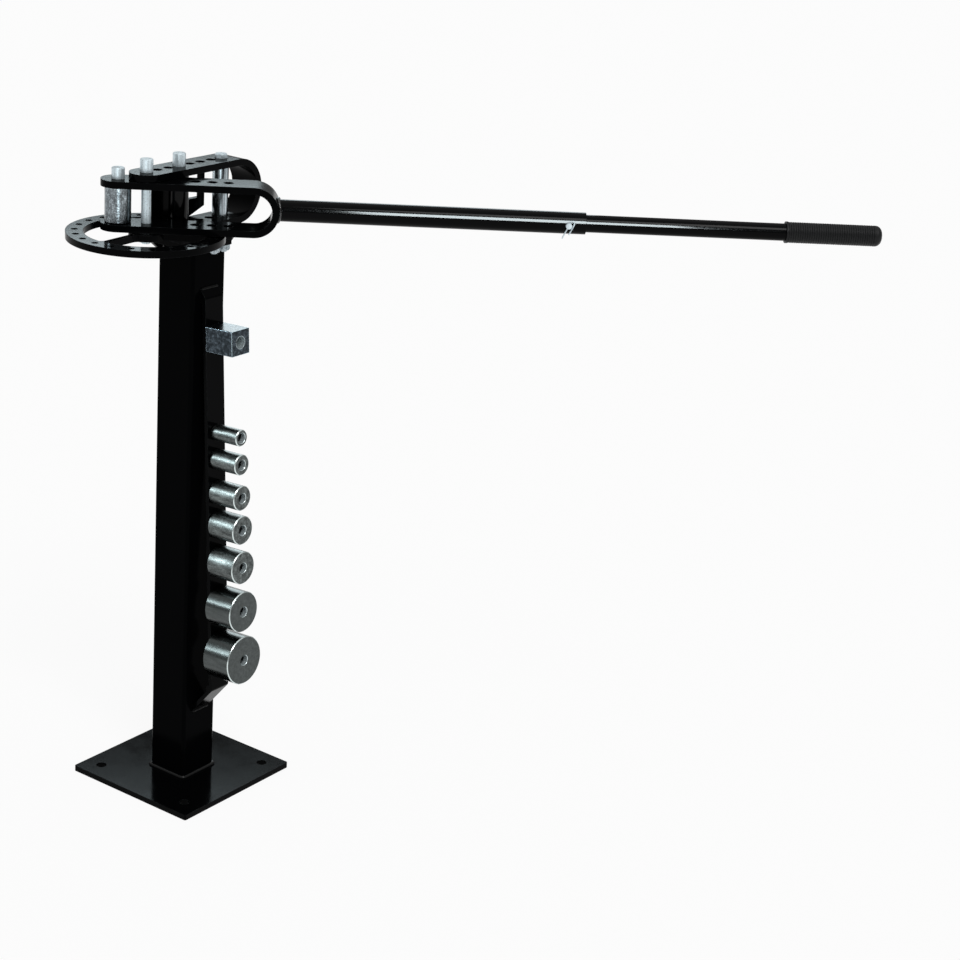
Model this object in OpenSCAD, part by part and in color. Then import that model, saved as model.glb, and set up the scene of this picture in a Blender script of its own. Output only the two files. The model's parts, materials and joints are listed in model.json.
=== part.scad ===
// Compact metal bender on a pedestal: a swinging lever turns a forming die
// round a fixed pivot, and a rack on the post holds the spare dies.
// Millimetres, +Z up, origin at the middle of the base plate's underside,
// +X along the fixed yoke, -Y the side of the post that carries the rack.

/* [Base plate] */
// Side of the square base plate
base_w = 240; // [200:1:300]
// Thickness of the base plate
base_t = 9; // [6:0.5:14]
// Corner radius of the base plate
base_corner_r = 3; // [1:0.5:10]
// Distance between floor bolt holes
floor_hole_span = 180; // [140:1:184]
// Diameter of the floor bolt holes
floor_hole_d = 16; // [8:0.5:20]

/* [Post] */
// Outer width of the square post tube
post_w = 70; // [64:1:80]
// Wall of the post tube
post_wall = 4; // [3:0.5:6]
// Outer corner radius of the post tube
post_corner_r = 5; // [4.5:0.5:8]
// Length of the post above the base plate
post_len = 862.5; // [700:0.5:1000]

/* [Head mount] */
// Thickness of each of the two head mount plates
mount_t = 8; // [6:0.5:12]
// Length of the mount plates along the fixed yoke
mount_len = 120; // [110:1:130]
// Width of the two ears that carry the studs
mount_ear_w = 38; // [34:1:50]
// Length of the mount plates over the ears
mount_ear_span = 120; // [110:1:130]
// Diameter of the mount studs
stud_d = 10; // [8:0.5:12]
// Distance between the studs of one ear
stud_pitch = 21; // [19.5:0.5:22]
// Distance between the studs of opposite ears
stud_span = 104; // [98:1:106]
// Length of a stud below its nut
stud_tail = 2.5; // [1:0.5:6]
// Width across the flats of the stud nuts
stud_nut_af = 17; // [15:0.5:18]
// Height of the stud nuts
stud_nut_h = 8; // [6:0.5:10]
// Length of the mount gussets along the cap
gusset_leg = 25; // [14:1:25]
// Height of the mount gussets
gusset_drop = 15.4; // [10:0.2:24]
// Width of a gusset's lower end
gusset_toe = 6; // [3:0.5:8]
// Thickness of the mount gussets
gusset_t = 6; // [4:0.5:8]

/* [Fixed yoke] */
// Distance from the post's middle back to the pivot
pivot_back = 98; // [90:1:104]
// Width of the yoke's flat bar
yoke_w = 50; // [46:1:52]
// Thickness of the yoke's flat bar
yoke_t = 10; // [8:0.5:12]
// Clear height between the yoke's legs
yoke_gap = 77; // [77:0.5:84]
// Distance between the yoke's pin holes
yoke_pitch = 22.3; // [22:0.1:23]
// Number of pin holes, the pivot's and the spacer bolt's among them
yoke_holes = 8; // [7:1:8]
// Distance from the last hole to the middle of the yoke's bend
yoke_bend_past = 15.4; // [14:0.2:20]

/* [Index plate] */
// Diameter of the index plate
index_d = 228.6; // [222:0.2:232]
// Number of holes round the whole rim
index_holes = 22; // [18:1:24]
// Diameter of the rim holes
index_hole_d = 10; // [6:0.5:12]
// Diameter of the circle that the rim holes lie on
index_hole_circle = 202.6; // [200:0.2:204]
// Diameter that the windows reach out to
index_window_d = 178; // [170:1:182]
// Diameter of the round that the spokes flare from, under the yoke's end
spoke_root_d = 48; // [46:1:50]
// Number of spokes
spokes = 3; // [3:1:4]
// Width of a spoke
spoke_w = 8; // [6:0.5:14]
// Angle of the first spoke from the fixed yoke
spoke_turn = 63; // [58:1:66]
// Fillet at the root of a spoke
spoke_root_fillet = 12; // [8:1:20]
// Fillet between a spoke and the rim
spoke_rim_fillet = 6; // [3:0.5:10]

/* [Back plate] */
// Thickness of the work stop plate behind the yoke
back_t = 8; // [6:0.5:10]
// Distance from the pivot to the plate's near end
back_near = 38; // [36:0.5:42]
// Distance from the pivot to the plate's far end
back_far = 149; // [146:0.5:156]
// How far the plate stops short of the top of the upper leg
back_inset = 7.5; // [2:0.5:9]
// Width of the window's far column
back_column_w = 8; // [6:0.5:12]
// Length of the window
back_window_w = 26; // [20:0.5:32]
// Height of the window
back_window_h = 39; // [30:0.5:44]
// Distance from the plate's top to the window
back_window_drop = 15; // [10:0.5:20]
// Length of the sloping lower corner
back_slope_len = 32; // [16:0.5:36]
// Rise of the sloping lower corner
back_slope_rise = 12; // [4:0.5:16]

/* [Pins and sleeves] */
// Diameter of the pin shafts
pin_d = 14.3; // [12:0.1:15]
// Diameter of the pin heads
pin_head_d = 19; // [17:0.5:20]
// Height of the pivot and stop pin heads
pin_head_h = 19; // [12:0.5:22]
// Height of the forming pin head
forming_head_h = 16; // [10:0.5:22]
// How far the pivot pin shows below the index plate
pivot_pin_tail = 7; // [3:0.5:12]
// Chamfer round the top of a pin head
pin_chamfer = 1; // [0.5:0.1:2]
// Which yoke hole holds the stop pin, counted from the pivot
stop_hole = 3; // [3:1:4]
// Outer diameter of the stop pin's sleeve
stop_sleeve_d = 28.8; // [22:0.2:30]
// Outer diameter of the spacer sleeve
spacer_d = 24; // [20:0.5:28]
// Diameter of the spacer bolt
spacer_bolt_d = 10; // [8:0.1:14]
// Width across the flats of the spacer bolt's head
spacer_head_af = 16.5; // [15:0.5:20]
// Height of the spacer bolt's head
spacer_head_h = 6.4; // [5:0.2:9]
// Outer diameter of the thrust washer under the lever
washer_d = 30; // [24:0.5:40]
// Thickness of the thrust washer
washer_t = 2.8; // [2:0.1:3.5]

/* [Lever yoke] */
// Width of the lever yoke's flat bar
lever_w = 50; // [46:1:52]
// Thickness of the lever yoke's flat bar
lever_t = 10; // [8:0.5:11]
// Clear height between the lever yoke's legs
lever_gap = 53; // [48:0.5:53]
// Distance from the pivot back to the forming pin
forming_back = 40; // [36:0.5:44]
// Distance from the pivot to the lever yoke's outer tip
lever_reach = 190; // [180:1:210]
// Distance from the pivot to the first spare hole
spare_hole_first = 70; // [66:0.5:74]
// Distance between the spare holes
spare_hole_pitch = 23.3; // [20:0.1:24]
// Number of spare holes
spare_holes = 3; // [1:1:3]
// Angle of the lever from the fixed yoke, seen from above
lever_turn = -50; // [-90:0.1:-45]
// Outer diameter of the forming die on the lever
forming_die_d = 38.1; // [30:0.1:44]

/* [Handle] */
// Outer diameter of the outer handle tube
outer_tube_d = 31.75; // [30:0.05:34]
// Length of the outer handle tube
outer_tube_len = 441; // [380:1:500]
// Outer diameter of the inner handle tube
inner_tube_d = 25.4; // [22:0.1:26]
// Wall of the inner handle tube
inner_tube_wall = 2.5; // [2:0.1:3]
// Length of the inner tube that shows
inner_tube_out = 293; // [200:1:320]
// Length of the inner tube that stays in the outer tube
inner_tube_in = 142; // [60:1:180]
// Length of the grip
grip_len = 142; // [110:1:160]
// Diameter of the grip over its ribs
grip_d = 30.5; // [29:0.1:32]
// Diameter of the grip's collar
grip_collar_d = 31.6; // [31:0.1:34]
// Length of the grip's collar
grip_collar_len = 3; // [2:0.5:8]
// Distance between the grip's ribs
grip_rib_pitch = 3.4; // [3:0.1:6]
// Depth of the grooves between the ribs
grip_groove = 0.9; // [0.4:0.1:1]
// Thickness of the grip's closed end
grip_end_t = 5; // [4:0.5:8]
// Radius of the rounded rim of the grip's end
grip_round = 9.5; // [5:0.5:10]

/* [Lock pin] */
// Distance from the outer tube's open end to the lock pin
lock_pin_back = 26; // [16:0.5:60]
// Diameter of the lock pin
lock_pin_d = 6; // [5:0.1:8]
// Diameter of the lock pin's head
lock_head_d = 9; // [8.5:0.1:12]
// Length of the lock pin's head
lock_head_len = 6.5; // [6:0.1:9]
// Diameter of the clip's wire
clip_wire_d = 2; // [1.6:0.1:2.4]
// Clearance between the clip's short leg and the lock pin's head
clip_gap = 0.8; // [0.6:0.1:3]
// Distance from the lock pin's head up to the clip's bend
clip_rise = 0.5; // [0.4:0.1:4]
// Length of the clip below the middle of the lock pin
clip_long_leg = 21; // [14:0.5:28]
// Length of the clip's short leg
clip_short_leg = 17; // [8:0.5:24]
// Angle of the clip from upright, seen from the front
clip_turn = 24; // [0:1:30]

/* [Die rack] */
// Width of the rack's flat bar
rack_w = 38; // [32:1:44]
// Thickness of the rack's flat bar
rack_t = 6; // [4:0.5:8]
// Height of the rack's lower bend
rack_low = 171; // [150:1:200]
// Height from the lower to the upper bend, as a share of the post's length
rack_share = 0.7177; // [0.69:0.0001:0.75]
// How far the rack's face stands out at the lower bend
rack_out_low = 42; // [36:0.5:48]
// How far the rack's face stands out at the upper bend
rack_out_high = 10.8; // [10:0.1:14]
// Angle of the two bent ends from level
rack_end_angle = 50; // [40:1:60]
// Diameter of the rods that carry the dies
rod_d = 12.7; // [10:0.1:14]
// How far a rod stops short of its die's face
rod_short = 7; // [4:0.5:15]
// Length of the rod that carries the square block
block_rod_len = 24; // [15:1:40]
// Distance along the rack from the lower bend to the lowest rod
lowest_rod = 57; // [50:0.5:70]
// Middle gap between neighbouring dies on the rack
die_gap = 12.9; // [10:0.1:15]
// Distance along the rack from the square block's rod to the upper bend
block_below = 58.9; // [50:0.1:80]

/* [Dies] */
// Length of the dies on the rack
die_len = 50.8; // [45:0.1:55]
// Bore of the dies on the rack
die_bore_d = 15.9; // [14.5:0.1:17]
// Chamfer round both ends of a die
die_chamfer = 1.2; // [0.5:0.1:2]
// Diameter of the smallest die
die_1_d = 25.4; // [24:0.05:28]
// Diameter of the second die
die_2_d = 31.75; // [29:0.05:34]
// Diameter of the third die
die_3_d = 38.1; // [36:0.05:40]
// Diameter of the fourth die
die_4_d = 44.45; // [42:0.05:46]
// Diameter of the fifth die
die_5_d = 50.8; // [48:0.05:54]
// Diameter of the sixth die
die_6_d = 63.5; // [58:0.05:66]
// Diameter of the largest die
die_7_d = 76.2; // [72:0.05:80]
// Side of the square bending block
block_w = 38.1; // [34:0.1:42]
// Bore of the square bending block
block_bore_d = 19; // [16:0.1:22]
// Chamfer along the square block's edges
block_chamfer = 0.8; // [0.4:0.1:2]

/* [Fits] */
// Radial clearance of a pin in its hole
fit_gap = 0.08; // [0.03:0.01:0.1]
// Clearance between pieces that move past each other
run_gap = 0.3; // [0.2:0.05:0.5]
// Clearance round a piece that is fixed in a cut-out
seat_gap = 0.3; // [0.1:0.05:0.5]
// Radial clearance of a bolt or stud in its hole
bolt_gap = 0.4; // [0.2:0.05:1]
// Height of the free space between the yokes' upper legs
leg_gap = 1; // [0.5:0.1:2]

/* [Hidden] */
$fn = 96;
// Overrun of every cut past the face that it goes through
cut = 1;
// How far a fillet's round bites into the two edges that it meets
fillet_bite = 0.02;

post_top = base_t + post_len;
mount_top = post_top + 2 * mount_t;
leg_low_top = mount_top + yoke_t;
leg_high_low = leg_low_top + yoke_gap;
yoke_top = leg_high_low + yoke_t;
yoke_mid = mount_top + yoke_t + yoke_gap / 2;
yoke_bend_r = yoke_gap / 2 + yoke_t;
yoke_end = yoke_holes * yoke_pitch - yoke_pitch;
yoke_bend_x = yoke_end + yoke_bend_past;
pin_hole_d = pin_d + 2 * fit_gap;

lever_top = leg_high_low - leg_gap;
lever_low = lever_top - lever_gap - 2 * lever_t;
lever_mid = lever_low + lever_t + lever_gap / 2;
lever_bend_r = lever_gap / 2 + lever_t;
lever_bend_x = lever_reach - lever_bend_r;

outer_tube_start = lever_reach;
outer_tube_end = outer_tube_start + outer_tube_len;
outer_tube_bore = inner_tube_d + 2 * fit_gap;
inner_tube_end = outer_tube_end + inner_tube_out;
grip_end = inner_tube_end + grip_len;
lock_pin_r = outer_tube_end - lock_pin_back;

die_sizes = [die_1_d, die_2_d, die_3_d, die_4_d, die_5_d, die_6_d, die_7_d];
// Gap below each die but the largest, as a share of the middle gap
gap_shares = [1.05, 1.35, 0.76, 0.98, 1.11, 0.76];
rack_rise = post_len * rack_share;
rack_lean = rack_out_low - rack_out_high;
rack_len = norm([rack_lean, rack_rise]);
rack_tilt = atan(rack_lean / rack_rise);

// Distance along the rack of the rod of die n, where 0 is the smallest
function rod_place(n) = n == len(die_sizes) - 1
    ? lowest_rod
    : rod_place(n + 1) + (die_sizes[n] + die_sizes[n + 1]) / 2 + die_gap * gap_shares[n];
block_place = rack_len - block_below;

// A plate with rounded corners, standing on z = 0
module rounded_plate(w, h, t, r) {
    linear_extrude(t) {
        square([w - 2 * r, h], center = true);
        square([w, h - 2 * r], center = true);
        for (x = [-1, 1], y = [-1, 1])
            translate([x * (w / 2 - r), y * (h / 2 - r)])
                circle(r);
    }
}

// A tube or sleeve standing on z = 0
module sleeve(d, bore, len) {
    difference() {
        cylinder(d = d, h = len);
        translate([0, 0, -cut])
            cylinder(d = bore, h = len + 2 * cut);
    }
}

// A round die on z = 0 with chamfered ends
module round_die(d, bore, len, chamfer) {
    rotate_extrude()
        polygon([
            [bore / 2, chamfer / 2],
            [bore / 2 + chamfer / 2, 0],
            [d / 2 - chamfer, 0],
            [d / 2, chamfer],
            [d / 2, len - chamfer],
            [d / 2 - chamfer, len],
            [bore / 2 + chamfer / 2, len],
            [bore / 2, len - chamfer / 2]
        ]);
}

// A hexagon head or nut standing on z = 0
module hexagon(af, h) {
    cylinder(d = af / cos(180 / 6), h = h, $fn = 6);
}

// Places children at the pivot, at height 0
module at_pivot() {
    translate([-pivot_back, 0, 0])
        children();
}

// Places children in the lever's own frame: +X out along the handle
module on_lever() {
    at_pivot()
        rotate([0, 0, lever_turn])
            children();
}

// Places children on the rack's face: +Z out of the face, +Y up the rack
module on_rack(along) {
    translate([0, rack_t - post_w / 2 - rack_out_low, rack_low])
        rotate([-rack_tilt, 0, 0])
            translate([0, -rack_t, along])
                rotate([90, 0, 0])
                    children();
}

module base_plate() {
    color("dimgray")
        difference() {
            rounded_plate(base_w, base_w, base_t, base_corner_r);
            for (x = [-1, 1], y = [-1, 1])
                translate([x * floor_hole_span / 2, y * floor_hole_span / 2, -cut])
                    cylinder(d = floor_hole_d, h = base_t + 2 * cut);
        }
}

module post() {
    inner_w = post_w - 2 * post_wall;
    color("black")
        translate([0, 0, base_t])
            difference() {
                rounded_plate(post_w, post_w, post_len, post_corner_r);
                translate([0, 0, -cut])
                    rounded_plate(inner_w, inner_w, post_len + 2 * cut, post_corner_r - post_wall);
            }
}

// Cross-shaped mount plate with two ears, standing on z = 0
module mount_plate(hole_d) {
    difference() {
        linear_extrude(mount_t) {
            square([mount_len, post_w], center = true);
            square([mount_ear_w, mount_ear_span], center = true);
        }
        at_studs()
            translate([0, 0, -cut])
                cylinder(d = hole_d, h = mount_t + 2 * cut);
    }
}

module at_studs() {
    for (x = [-1, 1], y = [-1, 1])
        translate([x * stud_pitch / 2, y * stud_span / 2, 0])
            children();
}

module post_cap() {
    color("black")
        translate([0, 0, post_top])
            mount_plate(stud_d + 2 * bolt_gap);
}

module head_plate() {
    color("black")
        translate([0, 0, post_top + mount_t])
            mount_plate(stud_d + 2 * fit_gap);
}

// Four tapered plates under the cap, in line with the post's flat sides
module mount_gussets() {
    side = post_w / 2 - post_corner_r;
    color("black")
        for (x = [-1, 1], y = [-1, 1])
            scale([x, y, 1])
                translate([post_w / 2, side, post_top])
                    rotate([90, 0, 0])
                        linear_extrude(gusset_t)
                            polygon([[0, 0], [gusset_leg, 0], [gusset_toe, -gusset_drop], [0, -gusset_drop]]);
}

module mount_studs() {
    below = stud_nut_h + stud_tail;
    color("silver")
        translate([0, 0, post_top - below])
            at_studs()
                cylinder(d = stud_d, h = below + 2 * mount_t);
}

module mount_nuts() {
    color("silver")
        translate([0, 0, post_top - stud_nut_h])
            at_studs()
                difference() {
                    intersection() {
                        hexagon(stud_nut_af, stud_nut_h);
                        cylinder(d1 = stud_nut_af, d2 = stud_nut_af + stud_nut_h, h = stud_nut_h);
                    }
                    translate([0, 0, -cut])
                        cylinder(d = stud_d + 2 * fit_gap, h = stud_nut_h + 2 * cut);
                }
}

// One straight stretch of the rack's bar, from p to q, on its outer side
module rack_stretch(p, q) {
    d = q - p;
    translate(p)
        rotate(atan2(d[1], d[0]))
            translate([0, -rack_t])
                square([norm(d), rack_t]);
}

// The bar leans out downwards, and both its ends turn back to the post
module die_rack() {
    low = [rack_out_low - rack_t, rack_low];
    high = [rack_out_high - rack_t, rack_low + rack_rise];
    run_out = rack_t + cut;
    foot = [-run_out, low[1] - (low[0] + run_out) * tan(rack_end_angle)];
    head = [-run_out, high[1] + (high[0] + run_out) * tan(rack_end_angle)];
    color("black")
        translate([-rack_w / 2, -post_w / 2, 0])
            rotate([90, 0, 90])
                linear_extrude(rack_w)
                    mirror([1, 0])
                        difference() {
                            union() {
                                rack_stretch(foot, low);
                                rack_stretch(low, high);
                                rack_stretch(high, head);
                                translate(low)
                                    circle(rack_t);
                                translate(high)
                                    circle(rack_t);
                            }
                            translate([-post_w, 0])
                                square([post_w, post_top]);
                        }
}

// The rods stand square on the rack's leaning face
module rack_rods() {
    color("black") {
        for (n = [0 : len(die_sizes) - 1])
            on_rack(rod_place(n))
                cylinder(d = rod_d, h = die_len - rod_short);
        on_rack(block_place)
            cylinder(d = rod_d, h = block_rod_len);
    }
}

module rack_die(n) {
    color("silver")
        on_rack(rod_place(n))
            translate([0, 0, fit_gap])
                round_die(die_sizes[n], die_bore_d, die_len, die_chamfer);
}

// Square block with its edges along the rod chamfered
module square_block() {
    half = block_w / 2;
    edge = half - block_chamfer;
    color("silver")
        on_rack(block_place)
            translate([0, 0, fit_gap])
                difference() {
                    linear_extrude(die_len)
                        polygon([
                            [-edge, -half], [edge, -half], [half, -edge], [half, edge],
                            [edge, half], [-edge, half], [-half, edge], [-half, -edge]
                        ]);
                    translate([0, 0, -cut])
                        cylinder(d = block_bore_d, h = die_len + 2 * cut);
                }
}

// Solid corner between a spoke's edge and its root, less the fillet's round
module root_fillet() {
    r = spoke_root_fillet;
    side = spoke_w / 2 + r;
    reach = spoke_root_d / 2 + r;
    out = sqrt(reach * reach - side * side);
    difference() {
        polygon([[0, 0], [out, 0], [out, side]]);
        translate([out, side])
            circle(r + fillet_bite);
    }
}

// Solid corner between a spoke's edge and the rim, less the fillet's round
module rim_fillet() {
    r = spoke_rim_fillet;
    side = spoke_w / 2 + r;
    reach = index_window_d / 2 - r;
    out = sqrt(reach * reach - side * side);
    past = index_window_d / 2 + cut;
    difference() {
        polygon([[out, 0], [out, side], [out, side] * past / reach, [past, 0]]);
        translate([out, side])
            circle(r + fillet_bite);
    }
}

// Everything inside the rim that stays solid: the spokes and their fillets
module index_web() {
    circle(d = spoke_root_d);
    for (k = [0 : spokes - 1])
        rotate(spoke_turn + k * 360 / spokes) {
            translate([0, -spoke_w / 2])
                square([index_window_d / 2, spoke_w]);
            for (side = [0, 1])
                mirror([0, side]) {
                    root_fillet();
                    rim_fillet();
                }
        }
}

// Plan outline of one leg of the fixed yoke, with its middle line on +X
module leg_outline(w, len) {
    circle(d = w);
    translate([0, -w / 2])
        square([len, w]);
}

// The plate is cut open for the yoke's lower leg, which lies flush in it
module index_plate() {
    step = 360 / index_holes;
    taken = asin((yoke_w / 2 + index_hole_d) / (index_hole_circle / 2));
    color("dimgray")
        at_pivot()
            translate([0, 0, mount_top])
                difference() {
                    linear_extrude(yoke_t)
                        difference() {
                            circle(d = index_d);
                            difference() {
                                circle(d = index_window_d);
                                index_web();
                            }
                            leg_outline(yoke_w + 2 * seat_gap, index_d);
                        }
                    for (k = [0 : index_holes - 1])
                        if (k * step > taken && k * step < 360 - taken)
                            rotate([0, 0, k * step])
                                translate([index_hole_circle / 2, 0, -cut])
                                    cylinder(d = index_hole_d, h = yoke_t + 2 * cut);
                }
}

// Side view of a bar bent into a U that opens towards -X, bend at the origin
module bent_bar(gap, t, len) {
    difference() {
        union() {
            circle(r = gap / 2 + t);
            translate([-len, -gap / 2 - t])
                square([len, gap + 2 * t]);
        }
        circle(r = gap / 2);
        translate([-len - cut, -gap / 2])
            square([len + cut, gap]);
    }
}

module frame_yoke() {
    color("black")
        at_pivot()
            difference() {
                intersection() {
                    translate([yoke_bend_x, yoke_w / 2, yoke_mid])
                        rotate([90, 0, 0])
                            linear_extrude(yoke_w)
                                bent_bar(yoke_gap, yoke_t, yoke_bend_x + yoke_w);
                    translate([0, 0, mount_top - cut])
                        linear_extrude(yoke_top - mount_top + 2 * cut)
                            leg_outline(yoke_w, yoke_bend_x + yoke_bend_r + cut);
                }
                for (k = [0 : yoke_holes - 2])
                    translate([k * yoke_pitch, 0, mount_top - cut])
                        cylinder(d = pin_hole_d, h = yoke_top - mount_top + 2 * cut);
                translate([yoke_end, 0, mount_top - cut])
                    cylinder(d = spacer_bolt_d + 2 * fit_gap, h = yoke_top - mount_top + 2 * cut);
            }
}

// Upright plate on the index plate, welded to the back edge of the yoke's upper leg
module back_plate() {
    low = leg_low_top;
    high = yoke_top - back_inset;
    window_far = back_far - back_column_w;
    window_top = high - back_window_drop;
    color("black")
        at_pivot()
            translate([0, yoke_w / 2 + back_t, 0])
                rotate([90, 0, 0])
                    linear_extrude(back_t)
                        difference() {
                            polygon([
                                [back_near, low],
                                [back_far - back_slope_len, low],
                                [back_far, low + back_slope_rise],
                                [back_far, high],
                                [back_near, high]
                            ]);
                            translate([window_far - back_window_w, window_top - back_window_h])
                                square([back_window_w, back_window_h]);
                        }
}

module stop_sleeve() {
    color("black")
        at_pivot()
            translate([stop_hole * yoke_pitch, 0, leg_low_top + run_gap])
                sleeve(stop_sleeve_d, pin_hole_d, yoke_gap - 2 * run_gap);
}

module spacer_sleeve() {
    color("silver")
        at_pivot()
            translate([yoke_end, 0, leg_low_top])
                sleeve(spacer_d, spacer_bolt_d + 2 * bolt_gap, yoke_gap);
}

// The bolt's thread ends flush with the underside of the lower leg
module spacer_bolt() {
    color("silver")
        at_pivot()
            translate([yoke_end, 0, mount_top])
                union() {
                    cylinder(d = spacer_bolt_d, h = yoke_top - mount_top);
                    translate([0, 0, yoke_top - mount_top])
                        intersection() {
                            hexagon(spacer_head_af, spacer_head_h);
                            cylinder(d1 = spacer_head_af + 2 * spacer_head_h,
                                d2 = spacer_head_af, h = spacer_head_h);
                        }
                }
}

module thrust_washer() {
    color("silver")
        at_pivot()
            translate([0, 0, leg_low_top])
                sleeve(washer_d, pin_hole_d, washer_t);
}

// A headed pin: its head stands on z = 0 and its shaft hangs below
module headed_pin(head_h, len) {
    rotate_extrude()
        polygon([
            [0, -len],
            [pin_d / 2 - pin_chamfer, -len],
            [pin_d / 2, pin_chamfer - len],
            [pin_d / 2, 0],
            [pin_head_d / 2, 0],
            [pin_head_d / 2, head_h - pin_chamfer],
            [pin_head_d / 2 - pin_chamfer, head_h],
            [0, head_h]
        ]);
}

module pivot_pin() {
    color("silver")
        at_pivot()
            translate([0, 0, yoke_top])
                headed_pin(pin_head_h, yoke_top - mount_top + pivot_pin_tail);
}

// The stop pin ends just above the head plate
module stop_pin() {
    color("silver")
        at_pivot()
            translate([stop_hole * yoke_pitch, 0, yoke_top])
                headed_pin(pin_head_h, yoke_top - mount_top - run_gap);
}

module lever_yoke() {
    back = forming_back + lever_w / 2;
    color("black")
        on_lever()
            difference() {
                intersection() {
                    translate([lever_bend_x, lever_w / 2, lever_mid])
                        rotate([90, 0, 0])
                            linear_extrude(lever_w)
                                bent_bar(lever_gap, lever_t, lever_bend_x + back + cut);
                    translate([-forming_back, 0, lever_low - cut])
                        linear_extrude(lever_top - lever_low + 2 * cut)
                            leg_outline(lever_w, lever_reach + forming_back + cut);
                }
                for (x = [-forming_back, 0])
                    translate([x, 0, lever_low - cut])
                        cylinder(d = pin_hole_d, h = lever_top - lever_low + 2 * cut);
                for (k = [0 : spare_holes - 1])
                    translate([spare_hole_first + k * spare_hole_pitch, 0, lever_low - cut])
                        cylinder(d = pin_hole_d, h = lever_top - lever_low + 2 * cut);
            }
}

// The forming pin ends level with the underside of the lever's lower leg
module forming_pin() {
    color("silver")
        on_lever()
            translate([-forming_back, 0, lever_top])
                headed_pin(forming_head_h, lever_top - lever_low);
}

module forming_die() {
    color("silver")
        on_lever()
            translate([-forming_back, 0, lever_low + lever_t + run_gap])
                round_die(forming_die_d, pin_hole_d, lever_gap - 2 * run_gap, die_chamfer);
}

// Places children at distance r along the handle, with +Z out along it
module on_handle(r) {
    on_lever()
        translate([r, 0, lever_mid])
            rotate([0, 90, 0])
                children();
}

// Cut for the lock pin, across the handle
module lock_hole() {
    on_lever()
        translate([lock_pin_r, outer_tube_d, lever_mid])
            rotate([90, 0, 0])
                cylinder(d = lock_pin_d + 2 * fit_gap, h = 2 * outer_tube_d);
}

// The tube's near end is coped to the round of the lever yoke's bend
module outer_tube() {
    color("black")
        difference() {
            on_handle(outer_tube_start - lever_t)
                sleeve(outer_tube_d, outer_tube_bore, outer_tube_len + lever_t);
            on_lever()
                translate([lever_bend_x, lever_w, lever_mid])
                    rotate([90, 0, 0])
                        cylinder(r = lever_bend_r, h = 2 * lever_w);
            lock_hole();
        }
}

module inner_tube() {
    color("black")
        difference() {
            on_handle(outer_tube_end - inner_tube_in)
                sleeve(inner_tube_d, inner_tube_d - 2 * inner_tube_wall,
                    inner_tube_in + inner_tube_out + grip_len - grip_end_t);
            lock_hole();
        }
}

// Ribbed grip: a collar, a run of round ribs and a rounded closed end
module grip() {
    r = grip_d / 2;
    ribs = floor((grip_len - grip_collar_len - grip_round) / grip_rib_pitch);
    bore_r = inner_tube_d / 2 + fit_gap;
    rib_steps = [0, 0.2, 0.5, 0.8];
    rib_depth_shares = [1, 0.25, 0, 0.25];
    color("black")
        on_handle(inner_tube_end)
            rotate_extrude()
                polygon(concat(
                    [[bore_r, 0], [grip_collar_d / 2, 0], [grip_collar_d / 2, grip_collar_len]],
                    [for (n = [0 : ribs - 1], k = [0 : len(rib_steps) - 1])
                        [r - grip_groove * rib_depth_shares[k],
                            grip_collar_len + (n + rib_steps[k]) * grip_rib_pitch]],
                    [for (a = [0 : 15 : 90])
                        [r - grip_round * (1 - cos(a)), grip_len - grip_round * (1 - sin(a))]],
                    [[0, grip_len], [0, grip_len - grip_end_t + fit_gap],
                        [bore_r, grip_len - grip_end_t + fit_gap]]
                ));
}

// Places children at the lock pin, with +Z out of the tube on the open side
module at_lock_pin() {
    on_lever()
        translate([lock_pin_r, 0, lever_mid])
            rotate([90, 0, 0])
                rotate([0, 0, -clip_turn])
                    children();
}

// Height above the handle's middle line at which the lock pin's head starts
lock_head_at = outer_tube_d / 2 + run_gap;
clip_at = lock_head_at + lock_head_len / 2;

// Pin with a head that is bored across for the clip
module lock_pin() {
    r = lock_head_d / 2;
    tail = outer_tube_d / 2 + lock_pin_d;
    color("silver")
        at_lock_pin()
            difference() {
                union() {
                    translate([0, 0, -tail])
                        cylinder(d = lock_pin_d, h = tail + lock_head_at);
                    translate([0, 0, lock_head_at])
                        cylinder(r = r, h = lock_head_len);
                }
                translate([0, lock_head_d, clip_at])
                    rotate([90, 0, 0])
                        cylinder(d = clip_wire_d + 2 * fit_gap, h = 2 * lock_head_d);
            }
}

// Straight leg of the clip, from the origin along -Y to a bevelled end
module clip_leg(len) {
    r = clip_wire_d / 2;
    bevel = r / 2;
    rotate([90, 0, 0])
        rotate_extrude($fn = 48)
            polygon([[0, 0], [r, 0], [r, len - bevel], [r - bevel, len], [0, len]]);
}

// Hairpin of wire: its long leg passes through the pin's head, the short one beside it
module lock_clip() {
    bend_r = (lock_head_d / 2 + clip_gap + clip_wire_d / 2) / 2;
    bend_at = lock_head_d / 2 + clip_rise;
    color("silver")
        at_lock_pin()
            translate([bend_r, bend_at, clip_at]) {
                translate([-bend_r, 0, 0])
                    clip_leg(bend_at + clip_long_leg);
                translate([bend_r, 0, 0])
                    clip_leg(clip_short_leg);
                rotate_extrude(angle = 180, $fn = 64)
                    translate([bend_r, 0])
                        circle(d = clip_wire_d, $fn = 48);
            }
}

base_plate();
post();
post_cap();
mount_gussets();
head_plate();
mount_studs();
mount_nuts();
die_rack();
rack_rods();
rack_die(0);  // die_25
rack_die(1);  // die_32
rack_die(2);  // die_38
rack_die(3);  // die_44
rack_die(4);  // die_51
rack_die(5);  // die_64
rack_die(6);  // die_76
square_block();
index_plate();
frame_yoke();
back_plate();
stop_sleeve();
spacer_sleeve();
spacer_bolt();
thrust_washer();
pivot_pin();
stop_pin();
lever_yoke();
forming_pin();
forming_die();
outer_tube();
inner_tube();
grip();
lock_pin();
lock_clip();
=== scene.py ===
import bpy
import bmesh
import json
import math
from mathutils import Matrix, Vector


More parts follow.
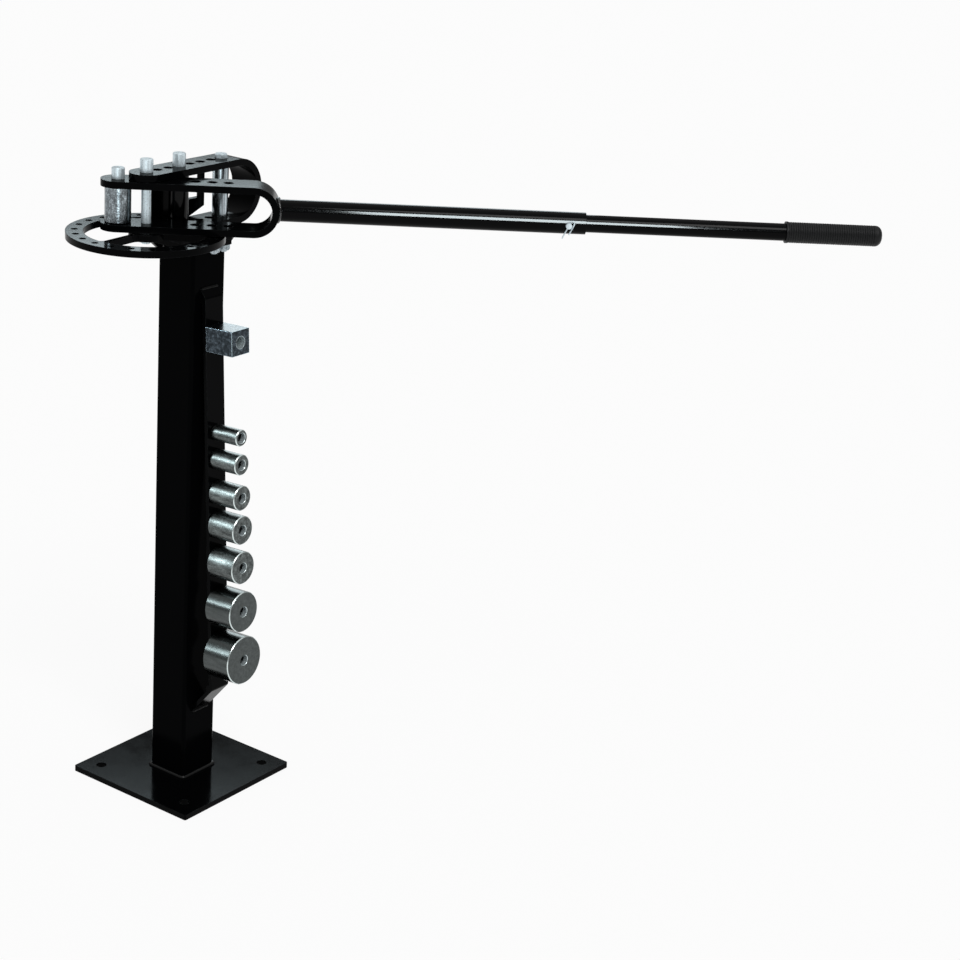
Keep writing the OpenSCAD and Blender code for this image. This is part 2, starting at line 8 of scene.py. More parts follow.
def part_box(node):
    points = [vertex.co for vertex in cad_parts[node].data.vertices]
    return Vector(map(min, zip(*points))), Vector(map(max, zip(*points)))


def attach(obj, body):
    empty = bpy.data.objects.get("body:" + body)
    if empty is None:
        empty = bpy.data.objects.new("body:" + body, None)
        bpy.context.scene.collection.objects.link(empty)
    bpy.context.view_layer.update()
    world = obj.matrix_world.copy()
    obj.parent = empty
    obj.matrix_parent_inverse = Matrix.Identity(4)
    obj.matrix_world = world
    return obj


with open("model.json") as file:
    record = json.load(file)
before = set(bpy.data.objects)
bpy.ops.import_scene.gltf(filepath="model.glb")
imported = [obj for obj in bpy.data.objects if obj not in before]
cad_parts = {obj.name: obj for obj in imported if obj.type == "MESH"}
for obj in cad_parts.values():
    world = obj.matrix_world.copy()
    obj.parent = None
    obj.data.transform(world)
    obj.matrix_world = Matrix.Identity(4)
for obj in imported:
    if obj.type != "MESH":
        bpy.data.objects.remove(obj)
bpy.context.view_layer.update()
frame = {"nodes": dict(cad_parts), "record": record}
NODES = frame["nodes"]
SLOTS = {s["node"]: s["material_slot"] for s in frame["record"]["subparts"]}
MM = 0.001

# ---------------------------------------------------------------- sizes that repeat part.scad
POST_HALF, POST_CORNER = 35 * MM, 5 * MM
BASE_TOP, POST_TOP = 9 * MM, 871.5 * MM
GUSSET_LEG, GUSSET_DROP = 25 * MM, 15.4 * MM
GUSSET_T, GUSSET_OUT = 6 * MM, 30 * MM
STUD_X, STUD_Y, STUD_R, STUD_LOW = 10.5 * MM, 52 * MM, 5 * MM, 861 * MM
BACK_RIM_X = 8 * MM
RACK_W = 38 * MM
RACK_LEAN, RACK_RISE = 31.2, 619.016
RACK_TILT = math.atan2(RACK_LEAN, RACK_RISE)
DIE_BORE_R, BLOCK_BORE_R = 7.95 * MM, 9.5 * MM
LARGE_DIES = ("die_64", "die_76")
SMALL_DIES = ("die_25", "die_32", "die_38", "die_44", "die_51")
PIVOT = Vector((-98 * MM, 0, 0))
LEVER_TURN = math.radians(-50)
LEVER_MID, LEVER_REACH, LEVER_BEND_R = 937 * MM, 190 * MM, 36.5 * MM
TUBE_R = 15.875 * MM
ALONG = Vector((math.cos(LEVER_TURN), math.sin(LEVER_TURN), 0))
ACROSS = Vector((-ALONG.y, ALONG.x, 0))

# ---------------------------------------------------------------- camera and light
FRAME_PX, SENSOR_MM = 960, 36
FOCAL_PX, CENTRE_PX = 2188.31, (440, 450)
CAM_AZ, CAM_EL, CAM_ROLL = 0.94651, 0.33586, 0.0603
CAM_AT = Vector((-2.31842, -2.14111, 1.65944))
CLIP_NEAR, CLIP_FAR = 0.05, 200

AMBIENT, HORIZON = 0.5, 0.3
SKY_LOW, SKY_HIGH = 0.45, 0.95
FLOOR_WHITE, FLOOR_R, FLOOR_SIDES = 0.9, 60, 96
SUN_AT, SUN_TOWARD = Vector((0, 0, 3)), Vector((0.35, 0.62, -0.9))
SUN_STRENGTH, SUN_WIDTH = 1.5, math.radians(24)
COOL, COOLER = (0.86, 0.97, 1.0), (0.80, 0.95, 1.0)
BEHIND, HEAD, HEAD_TOP = (2.35, 1.70, 2.05), (-0.1, 0, 0.95), (0, 0, 1.0)

# name: (where it stands, what it faces, its width and height, its radiance, its colour)
SOFTBOXES = {
    "handle_strip": ((-1.78, -2.54, 2.15), (0.288, -0.46, 0.937), (0.95, 1.4), 170, COOL),
    "back_panel": (BEHIND, HEAD_TOP, (1.6, 0.8), 5, COOLER),
    "rack_panel": ((2.1, 1.5, 1.35), (0, -0.06, 0.5), (1.6, 1.2), 3.2, COOL),
    "left_box": ((-2.2, 1.65, 1.75), (0, -0.1, 0.4), (0.5, 1.1), 20, COOL),
    "left_wide": ((-2.3, 1.7, 1.5), (0, -0.1, 0.5), (2.0, 2.4), 2.2, COOL),
    "low_front": ((-1.10, -1.10, 0.45), HEAD, (0.45, 0.8), 3.5, COOL),
    "low_left": ((-1.35, -0.80, 0.45), HEAD, (0.3, 0.8), 1.6, COOL),
    "pin_back": (BEHIND, HEAD_TOP, (1.6, 0.8), 0.6, COOL),
}

# ---------------------------------------------------------------- looks
# The second colour on the next line is the paler colour of the coat's edges: partly wear,
# partly a painted highlight.
COAT_BLACK, COAT_WORN_LIT_EDGE = (0.0010, 0.0011, 0.0013), (0.86, 0.96, 1.0)
RUBBER_BLACK, FLOOR_GREY = (0.008, 0.0085, 0.009), (0.82, 0.82, 0.82)
# The colour and metal level of the rack's bore walls paint a highlight inside the bores.
BORE_PAINTED_LIGHT, BORE_METAL = (0.62, 0.70, 0.72), 0.65
ZINC_TINT, ZINC_COOL = (1, 1.05, 1.08), (0.90, 1.02, 1.09)
ZINC_STOPS = (0.36, 0.5, 0.66)
TURNED_Y, TURNED_Z = (1, 0.2, 1), (1, 1, 0.03)

# noise patterns: scale, detail and roughness, without the scale for the zinc's crystals
# The first pattern on the next line makes the patches of the coat's paler edges, partly wear
# and partly painted highlight.
COAT_WORN_LIT_PATCHES, COAT_CLOUD, COAT_PEEL = (60, 4, 0.7), (26, 4, 0.6), (420, 2, 0.5)
CRYSTALS, ZINC_CLOUD = (4, 0.7), (190, 3, 0.55)
# The first pattern on the next line breaks up the zinc's bright edges, partly wear and partly
# painted highlight.
ZINC_WORN_LIT_PATCHES, ZINC_GLOSS = (160, 3, 0.6), (300, 4, 0.6)
RUBBER_CLOUD, RUBBER_GRAIN, FLOOR_CLOUD = (220, 4, 0.6), (900, 3, 0.6), (3, 3, 0.5)

# in metres: how wide the paler edges are (partly wear, partly painted highlight), how far
# corners look rounded, and how deep relief is
COAT_EDGE, COAT_ROUND, COAT_DEPTH = 0.0009, 0.0011, 0.0004
ZINC_EDGE, ZINC_ROUND, ZINC_DEPTH = 0.0013, 0.0006, 0.0004
RUBBER_ROUND, RUBBER_DEPTH = 0.0004, 0.0003
EDGE_SAMPLES, ROUND_SAMPLES = 6, 4
EDGE_DOT = (0.84, 0.985)  # rounded normal against flat normal, at an edge and beside it
CHAMFER_FROM, CHAMFER_TO = (0.3, 0.4), (0.9, 0.97)  # the normal's share along the axis
BORE_FADE = (0.0002, 0.0005)
MIX_A, MIX_B, MIX_OUT = 6, 7, 2  # colour sockets, whose names the Mix node uses three times

# ---------------------------------------------------------------- welds and threads
# lengths are in metres. BEAD_BASE, BEAD_RIPPLE and BEAD_WOBBLE are shares of a bead's radius,
# and THREAD_HALF is a share of the pitch
BEAD_SIDES, BEAD_PITCH, RIPPLE_STEPS = 9, 0.0032, 5
BEAD_BASE, BEAD_RIPPLE, BEAD_WOBBLE, WOBBLE_RATE = 0.82, 0.2, 0.06, 130
BEAD_TAPER, BEAD_TIP = 1.4, 0.05
FOOT_BEAD, CAP_BEAD, GUSSET_BEAD = 0.0040, 0.0024, 0.0017
RACK_BEAD, PLATE_BEAD, HANDLE_BEAD = 0.0026, 0.0024, 0.0024
# how far a bead's middle stands off the faces that it joins, and stops short of their ends
OFF, FOOT_OFF, RACK_OFF, PLATE_OFF = 0.0004, 0.0006, 0.0006, 0.0003
TUBE_OFF, BEND_OFF = 0.0008, 0.0012
SHORT = 0.001
THREAD_FROM, THREAD_TO = STUD_LOW + 0.0006, STUD_LOW + 0.0022
THREAD_PITCH, THREAD_CREST, THREAD_ROOT, THREAD_HALF = 0.0011, 0.0003, 0.0003, 0.42
THREAD_STEPS, THREAD_FADE = 28, 5


def add_to_scene(obj):
    bpy.context.scene.collection.objects.link(obj)
    return obj


def aim(obj, at, target):
    obj.location = at
    obj.rotation_mode = "QUATERNION"
    obj.rotation_quaternion = (Vector(target) - Vector(at)).to_track_quat("-Z", "Y")


def make_camera():
    """The camera fitted to the photograph, whose centre is a little off the lens's axis."""
    ahead = Vector((math.sin(CAM_AZ) * math.cos(CAM_EL), math.cos(CAM_AZ) * math.cos(CAM_EL),
                    -math.sin(CAM_EL)))
    level = Vector((math.cos(CAM_AZ), -math.sin(CAM_AZ), 0))
    above = level.cross(ahead)
    right = math.cos(CAM_ROLL) * level + math.sin(CAM_ROLL) * above
    up = -math.sin(CAM_ROLL) * level + math.cos(CAM_ROLL) * above
    data = bpy.data.cameras.new("camera")
    data.sensor_width = SENSOR_MM
    data.lens = FOCAL_PX * SENSOR_MM / FRAME_PX
    data.shift_x = (FRAME_PX / 2 - CENTRE_PX[0]) / FRAME_PX
    data.shift_y = (CENTRE_PX[1] - FRAME_PX / 2) / FRAME_PX
    data.clip_start, data.clip_end = CLIP_NEAR, CLIP_FAR
    cam = bpy.data.objects.new("camera", data)
    turn = Matrix((right, up, -ahead)).transposed().to_4x4()
    cam.matrix_world = Matrix.Translation(CAM_AT) @ turn
    bpy.context.scene.camera = add_to_scene(cam)


def make_sun():
    data = bpy.data.lights.new("key_sun", "SUN")
    data.energy, data.angle = SUN_STRENGTH, SUN_WIDTH
    aim(add_to_scene(bpy.data.objects.new("key_sun", data)), SUN_AT, SUN_AT + SUN_TOWARD)


def softbox(name, at, target, size, radiance, colour):
    """A rectangular lamp, radiance times as bright as white paper, seen only in gloss."""
    data = bpy.data.lights.new(name, "AREA")
    data.shape = "RECTANGLE"
    data.size, data.size_y = size
    data.energy = math.pi * size[0] * size[1] * radiance
    data.color = colour
    lamp = add_to_scene(bpy.data.objects.new(name, data))
    lamp.visible_diffuse = lamp.visible_camera = False
    aim(lamp, at, target)
    return lamp


def nodes_named(*names):
    return [NODES[name] for name in names]


def light_only(lamp, pieces):
    """Keeps a lamp's highlight to the pieces that show one in the photograph."""
    lit = bpy.data.collections.new(lamp.name + "_pieces")
    for piece in pieces:
        lit.objects.link(piece)
    lamp.light_linking.receiver_collection = lit


# ---------------------------------------------------------------- node helpers
class Tree:
    """A node tree and short ways to add to it."""

    def __init__(self, tree):
        self.tree = tree

    def node(self, kind, **inputs):
        n = self.tree.nodes.new(kind)
        for key, value in inputs.items():
            n.inputs[key.replace("_", " ")].default_value = value
        return n

    def link(self, a, b):
        self.tree.links.new(a, b)

    def math(self, operation, *values):
        """A Math node's result; each value is a socket or a plain number."""
        n = self.node("ShaderNodeMath")
        n.operation = operation
        for socket, value in zip(n.inputs, values):
            if isinstance(value, float):
                socket.default_value = value
            else:
                self.link(value, socket)
        return n.outputs[0]

    def ramp(self, value, source, result):
        """Moves value from the source range to the result range, and keeps it inside."""
        n = self.node("ShaderNodeMapRange", From_Min=source[0], From_Max=source[1],
                      To_Min=result[0], To_Max=result[1])
        self.link(value, n.inputs["Value"])
        return n.outputs["Result"]


def make_world():
    """White for the camera. Metal sees the same white overhead, dimmer towards the horizon."""
    world = bpy.data.worlds.new("studio")
    bpy.context.scene.world = world
    world.use_nodes = True
    w = Tree(world.node_tree)
    w.tree.nodes.clear()
    out = w.node("ShaderNodeOutputWorld")
    background = w.node("ShaderNodeBackground", Color=(1, 1, 1, 1))
    rays = w.node("ShaderNodeLightPath").outputs
    split = w.node("ShaderNodeSeparateXYZ")
    w.link(w.node("ShaderNodeTexCoord").outputs["Generated"], split.inputs[0])
    sky = w.node("ShaderNodeMapRange", From_Min=SKY_LOW, From_Max=SKY_HIGH, To_Min=HORIZON,
                 To_Max=1)
    sky.interpolation_type = "SMOOTHSTEP"
    w.link(split.outputs["Z"], sky.inputs["Value"])
    seen = w.node("ShaderNodeMix", A=AMBIENT)
    w.link(w.math("MAXIMUM", rays["Is Glossy Ray"], rays["Is Transmission Ray"]),
           seen.inputs["Factor"])
    w.link(sky.outputs["Result"], seen.inputs["B"])
    w.link(w.math("MAXIMUM", rays["Is Camera Ray"], seen.outputs["Result"]),
           background.inputs["Strength"])
    w.link(background.outputs[0], out.inputs["Surface"])


# ---------------------------------------------------------------- materials
class Mat(Tree):
    """A Principled material and the patterns that its colours and relief are made from."""

    def __init__(self, name, colour, rough, metallic=0.0, specular=0.5):
        self.material = bpy.data.materials.new(name)
        self.material.use_nodes = True
        super().__init__(self.material.node_tree)
        self.shader = self.tree.nodes["Principled BSDF"]
        self.surface = self.shader.inputs
        self.surface["Base Color"].default_value = (*colour, 1)
        self.surface["Roughness"].default_value = rough
        self.surface["Metallic"].default_value = metallic
        self.surface["Specular IOR Level"].default_value = specular
        self.place = self.node("ShaderNodeTexCoord").outputs["Object"]

    def noise(self, scale, detail, rough, stretch=(1, 1, 1)):
        mapping = self.node("ShaderNodeMapping", Scale=stretch)
        n = self.node("ShaderNodeTexNoise", Scale=scale, Detail=detail, Roughness=rough)
        self.link(self.place, mapping.inputs["Vector"])
        self.link(mapping.outputs[0], n.inputs["Vector"])
        return n.outputs["Fac"]

    def colours(self, value, stops, colours):
        n = self.node("ShaderNodeValToRGB")
        elements = n.color_ramp.elements
        while len(elements) < len(stops):
            elements.new(0.5)
        for element, at, colour in zip(elements, stops, colours):
            element.position = at
            element.color = (*colour, 1)
        self.link(value, n.inputs["Fac"])
        return n.outputs["Color"]

    def rounded(self, radius, samples):
        """The normal, as it would be with corners rounded by radius."""
        bevel = self.node("ShaderNodeBevel", Radius=radius)
        bevel.samples = samples
        return bevel.outputs[0]

    def normal(self, kind):
        """The surface's normal: smoothed is "Normal", and the face's own is "True Normal"."""
        return self.node("ShaderNodeNewGeometry").outputs[kind]

    def vector(self, operation, value):
        n = self.node("ShaderNodeVectorMath")
        n.operation = operation
        self.link(value, n.inputs[0])
        return n

    def edges(self, radius):
        """1 along outside and inside corners, 0 on flats and gentle rounds."""
        dot = self.vector("DOT_PRODUCT", self.rounded(radius, EDGE_SAMPLES))
        self.link(self.normal("Normal"), dot.inputs[1])
        return self.ramp(dot.outputs["Value"], EDGE_DOT, (1, 0))

    def chamfers(self):
        """1 on faces that slope between the side and the end of a part turned about Y."""
        split = self.node("ShaderNodeSeparateXYZ")
        self.link(self.normal("True Normal"), split.inputs[0])
        share = self.math("ABSOLUTE", split.outputs["Y"])
        return self.math("MULTIPLY", self.ramp(share, CHAMFER_FROM, (0, 1)),
                         self.ramp(share, CHAMFER_TO, (1, 0)))

    def inside(self, centre, radius):
        """1 within radius of the line through centre along the rack's rods, 0 outside."""
        local = self.node("ShaderNodeMapping", Location=centre, Rotation=(-RACK_TILT, 0, 0))
        local.vector_type = "TEXTURE"
        self.link(self.place, local.inputs["Vector"])
        flat = self.vector("MULTIPLY", local.outputs[0])
        flat.inputs[1].default_value = (1, 0, 1)
        far = self.vector("LENGTH", flat.outputs[0]).outputs["Value"]
        return self.ramp(far, [radius + fade for fade in BORE_FADE], (1, 0))

    def blend(self, share, a, b):
        """Colour a turning into colour b; each is a socket or a plain colour."""
        n = self.node("ShaderNodeMix")
        n.data_type = "RGBA"
        self.link(share, n.inputs["Factor"])
        for key, value in ((MIX_A, a), (MIX_B, b)):
            if isinstance(value, tuple):
                n.inputs[key].default_value = (*value, 1)
            else:
                self.link(value, n.inputs[key])
        return n.outputs[MIX_OUT]

    def bump(self, value, strength, depth, corner=0.0):
        """Relief up to depth, over corners that look rounded by the radius corner."""
        n = self.node("ShaderNodeBump", Strength=strength, Distance=depth)
        self.link(value, n.inputs["Height"])
        if corner:
            self.link(self.rounded(corner, ROUND_SAMPLES), n.inputs["Normal"])
        self.link(n.outputs[0], self.surface["Normal"])


def black_coat(name, specular, rough, peel=0.06, edge=0.03):
    """Black coat: a faint orange peel, and edges a little paler in patches, partly wear and
    partly a painted highlight.
    """
    m = Mat(name, COAT_BLACK, rough, specular=specular)
    # Paler edges in patches: partly wear, partly a painted highlight.
    patches = m.ramp(m.noise(*COAT_WORN_LIT_PATCHES), (0.42, 0.62), (0.1, 1))
    worn_and_lit = m.math("MULTIPLY", m.edges(COAT_EDGE), patches)
    paler = tuple(edge * c for c in COAT_WORN_LIT_EDGE)
    m.link(m.blend(worn_and_lit, COAT_BLACK, paler), m.surface["Base Color"])
    gloss = m.ramp(m.noise(*COAT_CLOUD), (0.3, 0.75), (rough * 0.7, rough * 1.4))
    m.link(gloss, m.surface["Roughness"])
    m.bump(m.noise(*COAT_PEEL), peel, COAT_DEPTH, corner=COAT_ROUND)
    return m.material


def zinc(name, tones, rough, tint=ZINC_TINT, streak=(1, 1, 1), scale=500, clouds=0.4,
         bump=0.1, edge=0.8, edge_radius=ZINC_EDGE, metallic=1.0, bore=None, turned=False):
    """Plated steel: crystal mottle over slower clouds, with brighter edges that are partly
    wear and partly painted highlight.

    tones are the dark, middle and light of the mottle. streak draws the clouds out along a
    turned part's axis: partly the lathe's marks, partly painted streaks of reflection. bore is
    the centre and radius of a hole along the rack's rods, whose wall gets a painted highlight,
    bright and a little matt. turned is for the dies on the rack, whose chamfers take the
    bright edge colour as a painted highlight.
    """
    shades = [tuple(tone * c for c in tint) for tone in tones]
    m = Mat(name, shades[1], rough, metallic=metallic)
    grain = m.noise(scale, *CRYSTALS)
    both = m.node("ShaderNodeMix", Factor=clouds)
    m.link(grain, both.inputs["A"])
    m.link(m.noise(*ZINC_CLOUD, streak), both.inputs["B"])
    plate = m.colours(both.outputs["Result"], ZINC_STOPS, shades)
    # Edges turn brighter in patches: on most parts partly wear and partly a painted highlight,
    # on the dies' chamfers a painted highlight.
    edges = m.chamfers() if turned else m.edges(edge_radius)
    patches = m.ramp(m.noise(*ZINC_WORN_LIT_PATCHES), (0.3, 0.55), (0.75, 1))
    colour = m.blend(m.math("MULTIPLY", edges, patches), plate, tuple(edge * c for c in tint))
    gloss = m.ramp(m.noise(*ZINC_GLOSS), (0.3, 0.7), (rough * 0.8, rough * 1.25))
    # The bore's wall is painted bright and less metallic: a painted highlight.
    if bore:
        wall = m.inside(*bore)
        colour = m.blend(wall, colour, BORE_PAINTED_LIGHT)
        m.link(m.ramp(wall, (0, 1), (metallic, BORE_METAL)), m.surface["Metallic"])
    m.link(colour, m.surface["Base Color"])
    m.link(gloss, m.surface["Roughness"])
    m.bump(grain, bump, ZINC_DEPTH, corner=0 if turned else ZINC_ROUND)
    return m.material


def rack_zinc(name, node, radius, *args, **kwargs):
    """Zinc for a piece on the rack, with a painted highlight on the wall of its bore."""
    low, high = (Vector(v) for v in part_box(node))
    return zinc(name, *args, bore=(tuple((low + high) / 2), radius), **kwargs)


def rubber():
    m = Mat("grip_rubber", RUBBER_BLACK, 0.5, specular=0.18)
    gloss = m.ramp(m.noise(*RUBBER_CLOUD), (0.3, 0.7), (0.36, 0.58))
    m.link(gloss, m.surface["Roughness"])
    m.bump(m.noise(*RUBBER_GRAIN), 0.2, RUBBER_DEPTH, corner=RUBBER_ROUND)
    return m.material


def floor_paint():
    """A pale floor that takes shadows, and looks white to the camera and in metal."""
    m = Mat("floor_paint", FLOOR_GREY, 0.8, specular=0.1)
    gloss = m.ramp(m.noise(*FLOOR_CLOUD), (0.2, 0.8), (0.75, 0.9))
    m.link(gloss, m.surface["Roughness"])
    rays = m.node("ShaderNodeLightPath").outputs
    white = m.node("ShaderNodeEmission", Strength=1.0)
    mix = m.node("ShaderNodeMixShader")
    seen = m.math("MAXIMUM", rays["Is Camera Ray"], rays["Is Glossy Ray"])
    seen = m.math("MAXIMUM", seen, rays["Is Transmission Ray"])
    m.link(m.math("MULTIPLY", seen, FLOOR_WHITE), mix.inputs["Fac"])
    m.link(m.shader.outputs[0], mix.inputs[1])
    m.link(white.outputs[0], mix.inputs[2])
    m.link(mix.outputs[0], m.tree.nodes["Material Output"].inputs["Surface"])
    return m.material


# ---------------------------------------------------------------- mesh helpers
def new_object(name, bm, material, smooth=True):
    mesh = bpy.data.meshes.new(name)
    bm.normal_update()
    bm.to_mesh(mesh)
    bm.free()
    for p in mesh.polygons:
        p.use_smooth = smooth
    mesh.materials.append(material)
    return add_to_scene(bpy.data.objects.new(name, mesh))


def full_turn(count):
    return [2 * math.pi * k / count for k in range(count)]


def wobble(s, seed):
    """A repeatable value from -1 to 1 that changes slowly with s."""
    return (math.sin(s * 1.7 + seed * 12.9) + math.sin(s * 2.9 + seed * 4.1)
            + math.sin(s * 4.3 + seed * 7.7)) / 3


def path_points(corners, closed, step):
    """Points every step along straight stretches, with their lengths from the start."""
    pts, run = [], 0.0
    ends = corners + [corners[0]] if closed else corners
    for a, b in zip(ends, ends[1:]):
        n = max(1, round((b - a).length / step))
        for k in range(n):
            pts.append((a.lerp(b, k / n), run + (b - a).length * k / n))
        run += (b - a).length
    if not closed:
        pts.append((ends[-1].copy(), run))
    return pts


def add_bead(bm, corners, radius, closed, seed):
    """A weld bead: a tube of overlapping ripples along the corners' path."""
    pts = path_points(corners, closed, BEAD_PITCH / RIPPLE_STEPS)
    rings, count = [], len(pts)
    for i, (p, s) in enumerate(pts):
        before = pts[i - 1][0] if closed or i else p
        after = pts[(i + 1) % count][0] if closed or i < count - 1 else p
        along = (after - before).normalized()
        side = along.cross(Vector((0, 0, 1)))
        if side.length <= 0.1:
            side = along.cross(Vector((1, 0, 0)))
        side.normalize()
        up = side.cross(along)
        t = (s / BEAD_PITCH) % 1.0
        ripple = BEAD_RIPPLE * math.sqrt(max(0.0, 1 - (2 * t - 1) ** 2))
        r = radius * (BEAD_BASE + ripple + BEAD_WOBBLE * wobble(s * WOBBLE_RATE, seed))
        if not closed:
            end = min(s, pts[-1][1] - s) / radius
            r *= math.sqrt(max(BEAD_TIP, min(1.0, end * BEAD_TAPER)))
        rings.append([bm.verts.new(p + r * (math.cos(a) * side + math.sin(a) * up))
                      for a in full_turn(BEAD_SIDES)])
    for i in range(count if closed else count - 1):
        a, b = rings[i], rings[(i + 1) % count]
        for k in range(BEAD_SIDES):
            n = (k + 1) % BEAD_SIDES
            bm.faces.new((a[k], a[n], b[n], b[k]))
    if not closed:
        bm.faces.new(list(reversed(rings[0])))
        bm.faces.new(rings[-1])


def bead_piece(name, runs, radius, body, material, closed=False, seed=1):
    bm = bmesh.new()
    for n, corners in enumerate(runs):
        add_bead(bm, [Vector(c) for c in corners], radius, closed, seed + n)
    obj = new_object(name, bm, material)
    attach(obj, body)
    return obj


def rounded_square(half, corner, z, steps=4):
    pts = []
    for quarter, (cx, cy) in enumerate(((1, 1), (-1, 1), (-1, -1), (1, -1))):
        for k in range(steps + 1):
            a = math.pi / 2 * (quarter + k / steps)
            pts.append((cx * (half - corner) + corner * math.cos(a),
                        cy * (half - corner) + corner * math.sin(a), z))
    return pts


def lever_point(along, across, z):
    """A point in the lever's own frame, where the lever stands at rest."""
    p = PIVOT + ALONG * along + ACROSS * across
    return (p.x, p.y, z)


def saddle_points(count=36):
    """Where the handle tube meets the round of the lever yoke's bend."""
    pts = []
    r = TUBE_R + TUBE_OFF
    for a in full_turn(count):
        rise = TUBE_R * math.sin(a)
        along = LEVER_REACH - LEVER_BEND_R + math.sqrt(LEVER_BEND_R ** 2 - rise ** 2)
        pts.append(lever_point(along + BEND_OFF, r * math.cos(a), LEVER_MID + r * math.sin(a)))
    return pts


def gusset_runs():
    """Up the post and out under the cap, on both faces of each gusset."""
    runs = []
    for sx in (-1, 1):
        for sy in (-1, 1):
            for face in (GUSSET_OUT, GUSSET_OUT - GUSSET_T):
                y = sy * face
                runs.append([(sx * (POST_HALF + SHORT), y, POST_TOP - GUSSET_DROP + SHORT),
                             (sx * (POST_HALF + OFF), y, POST_TOP - SHORT),
                             (sx * (POST_HALF + GUSSET_LEG - SHORT), y, POST_TOP - OFF)])
    return runs


def rack_runs():
    """Across both ends of the rack's bar, where they meet the post."""
    low, high = (Vector(v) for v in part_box("die_rack"))
    x, y = RACK_W / 2 - SHORT, -POST_HALF - OFF
    return [[(-x, y, z), (x, y, z)] for z in (low.z + RACK_OFF, high.z - RACK_OFF)]


def back_plate_runs():
    """Round three sides of the back plate's foot, on the index plate."""
    low, high = (Vector(v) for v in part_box("back_plate"))
    z = low.z + PLATE_OFF
    left, near, far = low.x - PLATE_OFF, low.y - PLATE_OFF, high.y + PLATE_OFF
    return [[(low.x + SHORT, far, z), (BACK_RIM_X, far, z)],
            [(left, high.y - SHORT, z), (left, low.y + SHORT, z)],
            [(low.x + SHORT, near, z), (BACK_RIM_X, near, z)]]


def thread_piece(name, places, body, material):
    """Screw threads: one sharp ridge wound round each stud."""
    bm = bmesh.new()
    rise, half = THREAD_TO - THREAD_FROM, THREAD_PITCH * THREAD_HALF
    count = int(THREAD_STEPS * rise / THREAD_PITCH)
    for px, py in places:
        rows = []
        for i in range(count + 1):
            a = 2 * math.pi * i / THREAD_STEPS
            z = THREAD_FROM + rise * i / count
            fade = min(1.0, i / THREAD_FADE, (count - i) / THREAD_FADE)
            ridge = ((STUD_R - THREAD_ROOT, -half), (STUD_R + THREAD_CREST * fade, 0),
                     (STUD_R - THREAD_ROOT, half))
            rows.append([bm.verts.new((px + r * math.cos(a), py + r * math.sin(a), z + dz))
                         for r, dz in ridge])
        for a, b in zip(rows, rows[1:]):
            for k in range(3):
                bm.faces.new((a[k], b[k], b[(k + 1) % 3], a[(k + 1) % 3]))
        bm.faces.new(rows[0])
        bm.faces.new(list(reversed(rows[-1])))
    obj = new_object(name, bm, material, smooth=False)
    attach(obj, body)


# ---------------------------------------------------------------- the scene
make_camera()
make_world()
make_sun()
lamps = {name: softbox(name, *values) for name, values in SOFTBOXES.items()}

BLACK = black_coat("black_powder_coat", 0.025, 0.13)
POST = black_coat("black_post_coat", 0.008, 0.13)
GLOSS = black_coat("black_tube_coat", 0.055, 0.07, peel=0.01)
WELD = black_coat("black_on_welds", 0.8, 0.2, edge=0.004)
DULL_WELD = black_coat("black_on_rack_welds", 0.12, 0.3, edge=0.004)
FOOT_WELD = black_coat("black_on_foot_weld", 0.25, 0.16, edge=0.004)
SLICK = black_coat("black_sleeve_coat", 0.12, 0.07, peel=0.01)
LEVER = black_coat("black_lever_coat", 0.02, 0.12)
# One zinc plating, made in copies with their own tones. The darker copies, for the forming
# die, the block and the dies, are partly painted shade: darker plating in place of the dark
# surroundings that the real parts reflect.
PINS = zinc("zinc_pins", (0.52, 0.86, 1.0), 0.30, tint=(0.83, 0.96, 1.02), streak=TURNED_Z,
            clouds=0.75, bump=0.03, metallic=0.5)
SLEEVE = zinc("zinc_sleeve", (0.10, 0.36, 0.95), 0.22, tint=ZINC_COOL, streak=TURNED_Z,
              clouds=0.8, bump=0.03)
SMALL = zinc("zinc_small", (0.12, 0.34, 0.72), 0.24, tint=ZINC_COOL, scale=420)
SPARKLE = zinc("zinc_coarse", (0.05, 0.17, 0.60), 0.2, tint=ZINC_COOL, streak=(1, 1, 0.5),
               scale=640, clouds=0.35, bump=0.25)
RUBBER = rubber()
# The block's white edges and bright bore wall are painted highlights.
BLOCK = rack_zinc("zinc_block", "square_block", BLOCK_BORE_R, (0.018, 0.040, 0.13), 0.28,
                  tint=(0.80, 1.02, 1.22), scale=330, clouds=0.55, bump=0.03, edge=1.0,
                  edge_radius=0.0012)

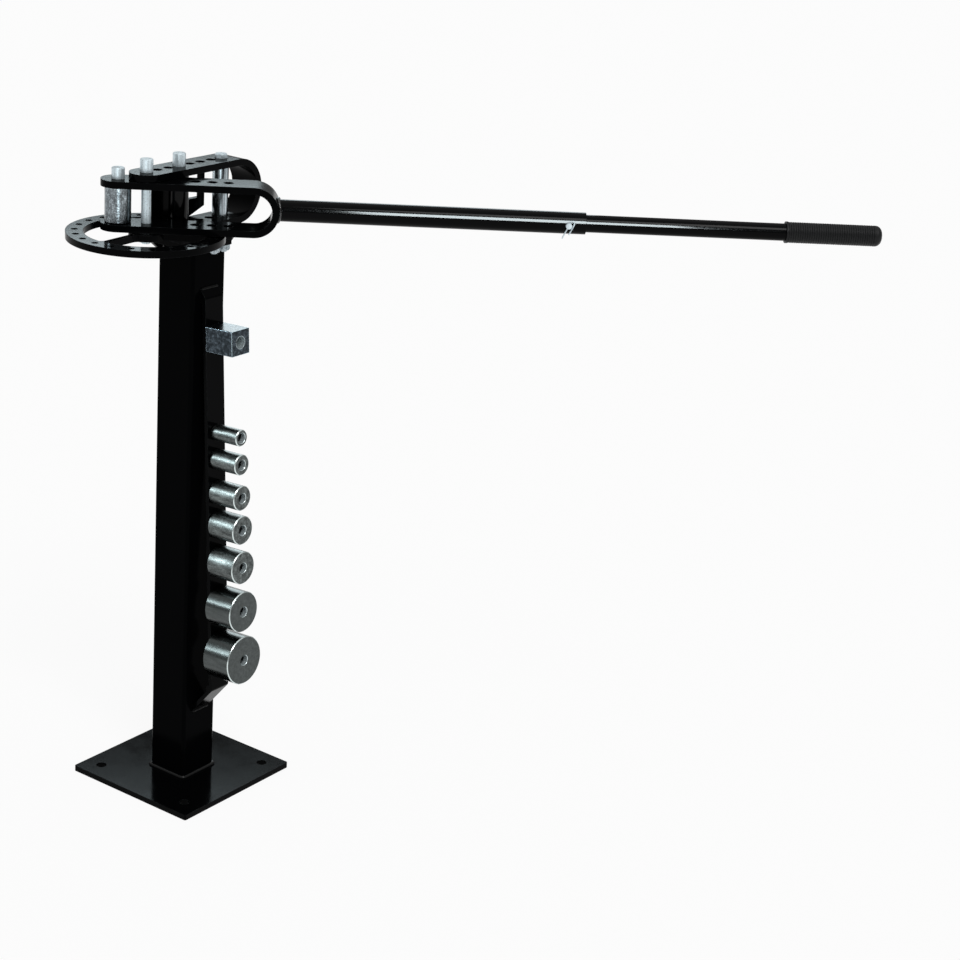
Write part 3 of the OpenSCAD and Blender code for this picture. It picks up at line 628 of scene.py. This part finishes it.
by_slot = {"black_paint": BLACK, "zinc_plate": PINS, "grip_rubber": RUBBER}
finishes = {"post": POST, "lever_yoke": LEVER, "outer_tube": GLOSS, "inner_tube": GLOSS,
            "forming_die": SPARKLE, "spacer_sleeve": SLEEVE, "stop_sleeve": SLICK,
            "mount_studs": SMALL, "mount_nuts": SMALL, "thrust_washer": SMALL,
            "square_block": BLOCK}
# The small dies get a lighter copy of the die zinc than the large ones: painted light,
# standing in for the light from the left that falls on them.
for names, tones, rough in ((LARGE_DIES, (0.062, 0.080, 0.105), 0.22),
                            (SMALL_DIES, (0.035, 0.105, 0.22), 0.3)):
    for name in names:
        finishes[name] = rack_zinc("zinc_" + name, name, DIE_BORE_R, tones, rough,
                                   tint=(0.92, 1.03, 1.02), streak=TURNED_Y, scale=520,
                                   clouds=0.5, bump=0.02, turned=True)
for name, obj in NODES.items():
    finish = finishes.get(name, by_slot[SLOTS[name]])
    if not obj.material_slots:
        obj.data.materials.append(finish)
    for material_slot in obj.material_slots:
        material_slot.material = finish

foot = rounded_square(POST_HALF + FOOT_OFF, POST_CORNER, BASE_TOP + OFF)
cap = rounded_square(POST_HALF + OFF, POST_CORNER, POST_TOP - OFF)
beads = [
    bead_piece("weld_post_foot", [foot], FOOT_BEAD, "stand", FOOT_WELD, closed=True, seed=3),
    bead_piece("weld_post_cap", [cap], CAP_BEAD, "stand", WELD, closed=True, seed=5),
    bead_piece("weld_gussets", gusset_runs(), GUSSET_BEAD, "stand", WELD, seed=11),
    bead_piece("weld_rack_ends", rack_runs(), RACK_BEAD, "stand", DULL_WELD, seed=17),
    bead_piece("weld_back_plate", back_plate_runs(), PLATE_BEAD, "stand", WELD, seed=23),
    bead_piece("weld_handle", [saddle_points()], HANDLE_BEAD, "lever", WELD, closed=True,
               seed=29),
]
studs = [(sx * STUD_X, sy * STUD_Y) for sx in (-1, 1) for sy in (-1, 1)]
thread_piece("stud_threads", studs, "stand", SMALL)

dark = [obj for name, obj in NODES.items()
        if SLOTS[name] == "black_paint" and name != "die_rack"] + beads
bright_beads = [b for b in beads if b.name in ("weld_handle", "weld_back_plate")]
small_dies = nodes_named(*SMALL_DIES)
rack = small_dies + nodes_named(*LARGE_DIES, "square_block")
pins = nodes_named("pivot_pin", "stop_pin", "forming_pin", "spacer_bolt")
rounds = nodes_named("forming_die", "spacer_sleeve")
light_only(lamps["handle_strip"], nodes_named("outer_tube", "inner_tube"))
light_only(lamps["back_panel"], dark)
light_only(lamps["rack_panel"], rack)
light_only(lamps["left_box"], rack + bright_beads + rounds + nodes_named("stop_sleeve"))
light_only(lamps["left_wide"], small_dies)
light_only(lamps["low_front"], rounds + bright_beads)
light_only(lamps["low_left"], pins)
light_only(lamps["pin_back"], pins + rounds)

floor_mesh = bmesh.new()
bmesh.ops.create_circle(floor_mesh, cap_ends=True, segments=FLOOR_SIDES, radius=FLOOR_R)
floor = new_object("floor", floor_mesh, floor_paint(), smooth=False)

scene = bpy.context.scene
scene.view_settings.view_transform = "Standard"
